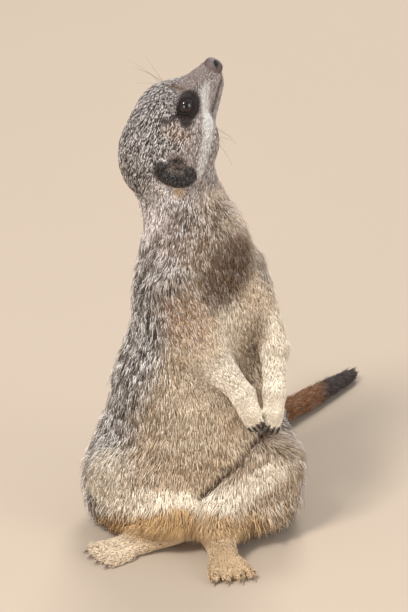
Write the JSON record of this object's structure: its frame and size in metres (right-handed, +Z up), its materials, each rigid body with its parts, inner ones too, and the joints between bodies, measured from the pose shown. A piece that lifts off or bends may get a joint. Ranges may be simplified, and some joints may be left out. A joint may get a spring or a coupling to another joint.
{
  "type": "meerkat",
  "caption": "Life-size still meerkat sitting upright on its haunches, hands held together, nose raised, tail laid out behind.",
  "frame": {"origin": "middle of the seat on the floor, under the animal's hips", "axes": "+Z up, +Y backwards along the way the tail leads, so that the animal faces -Y, and +X to its left"},
  "size_m": [0.1632, 0.2923, 0.2758],
  "materials": {
    "grizzled_fur": "grey-brown fur with black and cream ticking",
    "sandy_fur": "sandy orange-brown fur",
    "pale_fur": "pale cream to tan short fur",
    "dark_fur": "blackish-brown short fur",
    "bare_skin": "bare dark nose skin, finely pebbled",
    "horn": "smooth dark horn",
    "eye": "wet dark brown eye"
  },
  "bodies": {
    "root": {"nose": "bare_skin", "head": "grizzled_fur", "eye_right": "eye", "ear_right": "dark_fur", "eye_left": "eye", "ear_left": "dark_fur", "hand_right": "pale_fur", "claw_hand_right_1": "horn", "claw_hand_right_2": "horn", "claw_hand_right_3": "horn", "claw_hand_right_4": "horn", "forearm_right": "pale_fur", "upper_arm_right": "sandy_fur", "hand_left": "pale_fur", "claw_hand_left_1": "horn", "claw_hand_left_2": "horn", "claw_hand_left_3": "horn", "claw_hand_left_4": "horn", "forearm_left": "pale_fur", "upper_arm_left": "sandy_fur", "tail_tip": "dark_fur", "tail_middle": "sandy_fur", "tail_root": "sandy_fur", "foot_right": "pale_fur", "claw_foot_right_1": "horn", "claw_foot_right_2": "horn", "claw_foot_right_3": "horn", "claw_foot_right_4": "horn", "shank_right": "pale_fur", "thigh_right": "sandy_fur", "foot_left": "pale_fur", "claw_foot_left_1": "horn", "claw_foot_left_2": "horn", "claw_foot_left_3": "horn", "claw_foot_left_4": "horn", "shank_left": "pale_fur", "thigh_left": "sandy_fur", "neck": "grizzled_fur", "chest": "grizzled_fur", "belly": "sandy_fur", "rump": "sandy_fur"}
  },
  "joints": []
}
